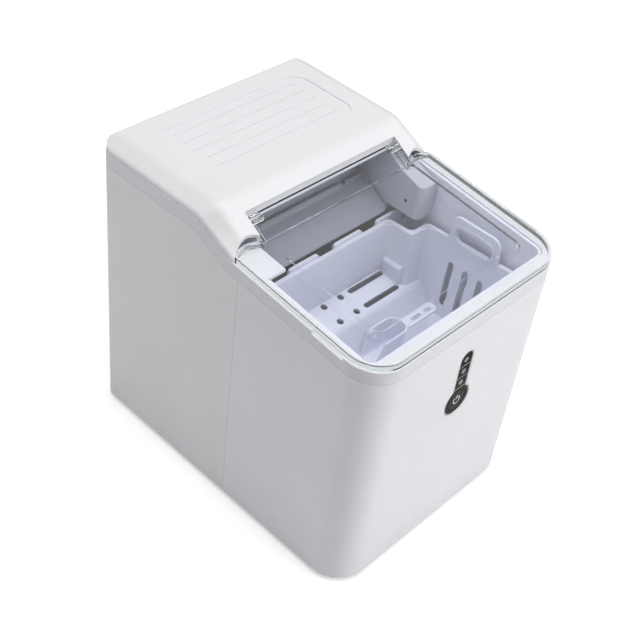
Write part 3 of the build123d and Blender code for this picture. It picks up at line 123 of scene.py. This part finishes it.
world = bpy.data.worlds.new("studio")
scene.world = world
world.use_nodes = True
tree = world.node_tree
tree.nodes.clear()
output = tree.nodes.new("ShaderNodeOutputWorld")
path = add_node(tree, "ShaderNodeLightPath")
seen = path.outputs["Is Camera Ray"]
for kind in ("Is Transmission Ray", "Is Glossy Ray"):
    either = add_node(tree, "ShaderNodeMath", operation="MAXIMUM", Value=seen)
    tree.links.new(path.outputs[kind], either.inputs[1])
    seen = either.outputs[0]
direct = add_node(tree, "ShaderNodeMath", operation="LESS_THAN", Value=path.outputs["Diffuse Depth"])
direct.inputs[1].default_value = 0.5
both = add_node(tree, "ShaderNodeMath", operation="MULTIPLY", Value=seen)
tree.links.new(direct.outputs[0], both.inputs[1])
ambient = add_node(tree, "ShaderNodeBackground", Color=srgb("#F0F1F5"), Strength=0.25)
white = add_node(tree, "ShaderNodeBackground", Color=(1, 1, 1, 1), Strength=1.0)
surface(tree, output, blend(tree, both.outputs[0], ambient, white))


# ---------------------------------------------------------------- studio light
# A big overhead box, one in front on the right, and a weak one behind on the left.
# So the left side falls off to grey, and the front left corner is darker still.
def softbox(name, place, size, watts):
    """A rectangular lamp aimed at the machine; its light enters the clear lid by shadow rays alone."""
    data = bpy.data.lights.new(name, "AREA")
    data.shape = "RECTANGLE"
    data.size, data.size_y = size
    data.energy = watts
    light = link_object(name, data)
    light.location = place
    light.visible_transmission = False
    aim = Vector((0.0, 0.0, 0.16)) - Vector(place)
    light.rotation_euler = aim.to_track_quat("-Z", "Y").to_euler()


softbox("top_box", (0.0, -0.1, 1.7), (1.5, 1.5), 19.0)
softbox("front_box", (0.8, -1.6, 0.6), (1.0, 1.2), 14.5)
softbox("left_box", (-0.8, 0.75, 0.4), (0.5, 0.7), 1.35)


# ---------------------------------------------------------------- white case
# Injection-moulded ABS: a satin cover and panels, a glossier frame, front shell and drain cap.
# The mould's polish leaves a faint waviness and a little flow variation in the colour.
def paint_node(name, material):
    """Puts a material on every slot of a CAD node."""
    mesh = nodes[name].data
    if not mesh.materials:
        mesh.materials.append(material)
    for index in range(len(mesh.materials)):
        mesh.materials[index] = material


def millimetre_noise(tree, size_mm, detail, stretch=(1.0, 1.0, 1.0)):
    """A noise value over the object's own millimetres; size_mm is the width of a patch."""
    place = add_node(tree, "ShaderNodeTexCoord")
    scale = add_node(tree, "ShaderNodeMapping", Vector=place.outputs["Object"])
    scale.inputs["Scale"].default_value = [1000.0 / size_mm / s for s in stretch]
    noise = add_node(tree, "ShaderNodeTexNoise", Vector=scale.outputs[0], Scale=1.0, Detail=detail)
    return noise.outputs[0]


def stops(tree, factor, *pairs):
    """A colour ramp of (position, hex colour) pairs, driven by a factor socket."""
    ramp = tree.nodes.new("ShaderNodeValToRGB")
    while len(ramp.color_ramp.elements) < len(pairs):
        ramp.color_ramp.elements.new(0.5)
    for index, (position, colour) in enumerate(pairs):
        ramp.color_ramp.elements[index].position = position
        ramp.color_ramp.elements[index].color = srgb(colour)
    tree.links.new(factor, ramp.inputs[0])
    return ramp.outputs[0]


def tone(tree, factor, low, high):
    """A colour between two close tones, driven by a noise value."""
    return stops(tree, factor, (0.3, low), (0.7, high))


def relief(tree, height, strength):
    """A surface normal bent by a height value, as if it stood 0.05 mm high."""
    bump = add_node(tree, "ShaderNodeBump", Height=height, Strength=strength, Distance=0.05 / 1000)
    return bump.outputs[0]


def moulded(tree, low, high, rough, wave_mm, wave, **more):
    """The shader of moulded plastic: two close tones, a faint surface wave and an even gloss."""
    colour = tone(tree, millimetre_noise(tree, 60.0, 3.0), low, high)
    normal = relief(tree, millimetre_noise(tree, wave_mm, 1.0), wave)
    return add_node(
        tree, "ShaderNodeBsdfPrincipled", Base_Color=colour, Roughness=rough, Normal=normal, **more,
    )


def plastic(name, low, high, rough, wave_mm=18.0, wave=0.05, IOR=1.5, **more):
    """A material of moulded plastic."""
    material, tree, output = new_material(name)
    surface(tree, output, moulded(tree, low, high, rough, wave_mm, wave, IOR=IOR, **more))
    return material


gloss_abs = plastic("gloss_white_abs", "#E5E5E8", "#E8E8EB", 0.2)
# The frame's white is a shade darker than the other white parts: painted shade that tones down its rim, lit
# strongly under the clear lid.
frame_abs_painted_shade = plastic("frame_white_abs_painted_shade", "#E0E0E3", "#E3E3E6", 0.25, Specular_IOR_Level=0.3)
satin_abs = plastic("satin_white_abs", "#E4E4E6", "#E7E7E9", 0.36)
for name in ("front_shell", "drain_cap"):
    paint_node(name, gloss_abs)
paint_node("mid_frame", frame_abs_painted_shade)
for name in ("top_cover", "left_side_panel", "right_side_panel", "rear_panel"):
    paint_node(name, satin_abs)


# ---------------------------------------------------------------- base and feet
# A galvanised sheet tray with a folded edge, on four black rubber feet.  The fan's shroud is of the
# same sheet, and the compressor's grommets and the cord gland are of the same rubber.
def metal(name, low, high, rough, grain_mm, stretch=(1.0, 1.0, 1.0), metallic=1.0):
    """Bare metal in two close tones over its grain."""
    material, tree, output = new_material(name)
    colour = tone(tree, millimetre_noise(tree, grain_mm, 3.0, stretch), low, high)
    surface(tree, output, add_node(
        tree, "ShaderNodeBsdfPrincipled", Base_Color=colour, Metallic=metallic, Roughness=rough,
    ))
    return material


zinc = metal("galvanised_sheet", "#A3A7AA", "#C0C4C7", 0.42, 6.0, metallic=0.9)
rubber = plastic("black_rubber", "#1B1B1C", "#222223", 0.62, 1.2, 0.3)
for name in ("base_tray", "fan_shroud"):
    paint_node(name, zinc)
for name in ("rubber_feet", "compressor_grommets", "cord_gland"):
    paint_node(name, rubber)


# ---------------------------------------------------------------- water tub, ice basket and scoop
# Cool white moulded polypropylene: the tub with its float, the basket that hangs in it, the scoop.
# The walls are thin enough to glow a little, so their shadows turn blue rather than grey.
def milky(name, low, high, rough, wave_mm, wave, share):
    """Thin moulded plastic that passes a share of the light through its wall."""
    material, tree, output = new_material(name)
    face = moulded(tree, low, high, rough, wave_mm, wave, IOR=1.5)
    through = add_node(tree, "ShaderNodeBsdfTranslucent", Color=srgb(high))
    surface(tree, output, blend(tree, share, face, through))
    return material


tub_plastic = milky("tub_polypropylene", "#EAECFA", "#F0F2FD", 0.30, 14.0, 0.06, 0.08)
basket_plastic = milky("basket_polypropylene", "#EBEEFD", "#F1F3FE", 0.20, 12.0, 0.08, 0.16)
for name in ("inner_tub", "float", "float_stem"):
    paint_node(name, tub_plastic)
for name in ("ice_basket", "ice_scoop"):
    paint_node(name, basket_plastic)

# ---------------------------------------------------------------- clear lid
# Clear moulded polystyrene, 2.4 mm thick, that swings on two bright steel pins.  Light that runs
# through it is absorbed a little.  Its rounded edges carry painted shade in the sheet's colour, thin
# dark lines, and the upright edge on the right darker painted shade, for its dark green-grey line.
clear, tree, output = new_material("clear_polystyrene")
place = add_node(tree, "ShaderNodeTexCoord")
facing = add_node(tree, "ShaderNodeSeparateXYZ", Vector=place.outputs["Normal"])
upward = add_node(tree, "ShaderNodeMath", operation="ABSOLUTE", Value=facing.outputs["Z"])
# Painted shade by the face's tilt: upright faces a little grey, rounded edges between upright and flat dark.
edge_painted_shade = stops(
    tree, upward.outputs[0],
    (0.0, "#E4E9E7"), (0.15, "#C9CFCD"), (0.35, "#535D5A"), (0.5, "#535D5A"), (0.62, "#FCFDFE"),
)
# Painted shade: the upright skirt faces on the right side are darkened further.
sideways = add_node(tree, "ShaderNodeMath", operation="ABSOLUTE", Value=facing.outputs["X"])
upright = add_node(tree, "ShaderNodeMapRange", Value=sideways.outputs[0], From_Min=0.4, From_Max=0.7)
across = add_node(tree, "ShaderNodeSeparateXYZ", Vector=place.outputs["Object"])
right = add_node(tree, "ShaderNodeMapRange", Value=across.outputs["X"], From_Min=0.117, From_Max=0.121)
skirt = add_node(tree, "ShaderNodeMath", operation="MULTIPLY", Value=upright.outputs["Result"])
tree.links.new(right.outputs["Result"], skirt.inputs[1])
right_skirt_painted_shade = stops(tree, skirt.outputs[0], (0.0, "#FFFFFF"), (1.0, "#717B79"))
sheet_colour_with_painted_shade = add_node(tree, "ShaderNodeVectorMath", operation="MULTIPLY", Vector=edge_painted_shade)
tree.links.new(right_skirt_painted_shade, sheet_colour_with_painted_shade.inputs[1])
sheet = add_node(
    tree, "ShaderNodeBsdfPrincipled", Base_Color=sheet_colour_with_painted_shade.outputs[0], Roughness=0.015, IOR=1.45,
    Transmission_Weight=1.0, Specular_IOR_Level=0.08,
    Normal=relief(tree, millimetre_noise(tree, 25.0, 1.0), 0.03),
)
path = add_node(tree, "ShaderNodeLightPath")
passing = add_node(tree, "ShaderNodeBsdfTransparent", Color=srgb("#FCFCFE"))
surface(tree, output, blend(tree, path.outputs["Is Shadow Ray"], sheet, passing))
depth_tint = add_node(tree, "ShaderNodeVolumeAbsorption", Color=srgb("#7F9C92"), Density=8.0)
tree.links.new(depth_tint.outputs[0], output.inputs["Volume"])
paint_node("lid", clear)
steel = metal("bright_zinc_steel", "#B2B4B6", "#C8CACC", 0.28, 0.6, (6.0, 1.0, 1.0))
for name in ("hinge_pins", "motor_screws", "hanger_screws", "board_screws", "display_screws", "rear_screws",
             "tray_spindle", "fan_motor", "gear_motor"):
    paint_node(name, steel)

# ---------------------------------------------------------------- freezing assembly
# Grey satin plastic for the shovel, the water tray, their brackets and the motor's housing.
# The basin, pump, sensor, terminal cover and fan are black, and the evaporator is nickel plated.
# The basin's blue-black is partly painted shade, for the unlit cavity that shows past the shovel.
grey = plastic("grey_satin_plastic", "#9193A0", "#9799A6", 0.34)
housing_grey = plastic("housing_grey_plastic", "#B6B9C4", "#BBBEC9", 0.30)
black_plastic_and_cavity_shade = plastic("black_plastic_and_cavity_shade", "#12141C", "#171922", 0.5, IOR=1.15)
nickel = metal("nickel_plate", "#C4C0B6", "#CFCBC2", 0.2, 5.0)
for name in ("ice_shovel", "pivot_bracket", "water_tray", "evaporator_bracket"):
    paint_node(name, grey)
paint_node("motor_housing", housing_grey)
# On the basin this blue-black is partly painted shade, for the dark cavity under the shovel.
for name in ("ice_sensor", "return_basin", "water_pump", "terminal_cover", "fan_blade"):
    paint_node(name, black_plastic_and_cavity_shade)
paint_node("evaporator", nickel)

# ---------------------------------------------------------------- cooling unit
# Black enamelled compressor, drawn copper lines and an aluminium fin block, with foam round the tub.
# The pump's hose and the drain's seal are silicone, and the boards are green laminate.
enamel = plastic("black_enamel", "#0E0E10", "#141416", 0.28, 3.0, 0.25)
copper = metal("drawn_copper", "#AC643C", "#CB865C", 0.3, 12.0)
fin_metal = metal("aluminium_fins", "#C2C4C6", "#CFD1D3", 0.35, 2.0)
foam = plastic("insulating_foam", "#E6DFC6", "#EFE9D4", 0.9, 2.0, 0.6)
silicone = plastic("milky_silicone", "#D5D6D4", "#DCDDDB", 0.4)
laminate = plastic("circuit_laminate", "#1E5A34", "#24653C", 0.4, 1.0, 0.2)
paint_node("compressor", enamel)
for name in ("condenser_tube", "suction_line", "discharge_line", "liquid_line", "filter_drier", "capillary"):
    paint_node(name, copper)
paint_node("condenser_fins", fin_metal)
paint_node("tub_insulation", foam)
for name in ("pump_hose", "drain_seal"):
    paint_node(name, silicone)
for name in ("control_board", "display_board"):
    paint_node(name, laminate)

# ---------------------------------------------------------------- control panel
# A smoked gloss lens that fades to black at its top, in a satin silver trim, with a gloss key.
# Three lamps of clear epoxy stand behind the lens.
lens, tree, output = new_material("smoked_acrylic")
place = add_node(tree, "ShaderNodeTexCoord")
height = add_node(tree, "ShaderNodeSeparateXYZ", Vector=place.outputs["Object"])
climb = add_node(tree, "ShaderNodeMapRange", Value=height.outputs["Z"], From_Min=0.180, From_Max=0.228)
smoke = stops(tree, climb.outputs["Result"], (0.1, "#2D2E2A"), (0.9, "#0B0B0B"))
surface(tree, output, add_node(tree, "ShaderNodeBsdfPrincipled", Base_Color=smoke, Roughness=0.08, IOR=1.1))
key = plastic("smoked_key", "#2C2D29", "#31322E", 0.2, IOR=1.12)
trim = metal("satin_silver_trim", "#B9B9BB", "#C2C2C4", 0.35, 1.5, metallic=0.5)
epoxy = plastic("clear_epoxy", "#DDE2E8", "#E4E8EE", 0.15)
paint_node("panel_lens", lens)
paint_node("power_button", key)
paint_node("panel_trim", trim)
paint_node("indicator_leds", epoxy)


# ---------------------------------------------------------------- printed symbols
# Pale screen print that stands 0.03 mm off its plastic: a ring round a small sign for each of the
# three lamps, a thin line under each ring, and the standby sign on the key.
def ring(x, z, inner, outer, start=0.0, end=360.0, steps=32):
    """An arc band round (x, z): each angle from start to end, in degrees from +X towards +Z, gives
    one point at the inner and one at the outer radius, and each step between angles is one face."""
    angles = np.radians(np.linspace(start, end, steps + 1))[:, None]
    radii = np.array([inner, outer])
    points = np.stack([x + radii * np.cos(angles), z + radii * np.sin(angles)], axis=-1)
    return points.reshape(-1, 2), 2 * np.arange(steps)[:, None] + (0, 1, 3, 2)


def bar(x, z, length, thick, angle=0.0):
    """A straight bar centred at (x, z): its corners lie half a length along and half a thickness
    across from there, turned by an angle in degrees."""
    corners = np.array([(-1, -1), (1, -1), (1, 1), (-1, 1)]) * (length / 2, thick / 2)
    c, s = np.cos(np.radians(angle)), np.sin(np.radians(angle))
    return corners @ np.array([(c, s), (-s, c)]) + (x, z), np.array([(0, 1, 2, 3)])


def print_on(name, shapes, face_y, body):
    """A print of flat shapes on a front face at face_y.  Each shape has a front and a back copy, and
    a wall joins them along every edge that only one of its faces has.  Sizes in millimetres."""
    proud, sunk = 0.03, 0.02
    points, faces, base = [], [], 0
    for flat, quads in shapes:
        count = len(flat)
        front = np.insert(flat, 1, face_y - proud, axis=1)
        edges = np.stack([quads, np.roll(quads, -1, axis=1)], axis=-1).reshape(-1, 2)
        shared = np.isin(edges @ (count, 1), edges @ (1, count))
        a, b = edges[~shared].T
        walls = np.column_stack([b, a, a + count, b + count])
        points += [front, front + (0, proud + sunk, 0)]
        faces += [quads + base, quads[:, ::-1] + count + base, walls + base]
        base += 2 * count
    mesh = bpy.data.meshes.new(name)
    mesh.from_pydata((np.concatenate(points) / 1000).tolist(), [], np.concatenate(faces).tolist())
    mesh.materials.append(pale_print)
    mesh.validate()
    piece = link_object(name, mesh)
    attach(piece, body)


pale_print = plastic("pale_screen_print", "#E9EAE5", "#EEEFEA", 0.5, 0.4, 0.1)
lens_face = -172.1
key_face = lens_face - 0.1
full_z, water_z, ice_z = 198.0, 211.8, 225.6
line_drop = 6.9
stroke = 0.4
lamp_signs = []
for z in (full_z, water_z, ice_z):
    lamp_signs += [ring(0, z, 2.0, 2.5), bar(0, z - line_drop, 15.2, 0.35)]
ice_crystal = [bar(0, ice_z, 1.9, stroke, angle) for angle in (0, 60, 120)]
water_drop = [ring(0, water_z - 0.25, 0.5, 0.9, 150, 390, 16)]
water_drop += [bar(-0.42, water_z + 0.5, 1.1, 0.36, 60), bar(0.42, water_z + 0.5, 1.1, 0.36, 120)]
full_basket = [bar(0, full_z - 0.6, 1.8, stroke)]
full_basket += [bar(x, full_z, 1.4, stroke, 90) for x in (-0.75, 0.75)]
full_basket += [bar(0, full_z + 0.5, 0.7, 0.7)]
print_on("lamp_signs", lamp_signs + ice_crystal + water_drop + full_basket, lens_face, "case")
key_z = 175.6
standby = [ring(0, key_z, 3.7, 4.7, 125, 415, 48), bar(0, key_z + 3.6, 4.6, 1.0, 90)]
print_on("standby_sign", standby, key_face, "power_button")
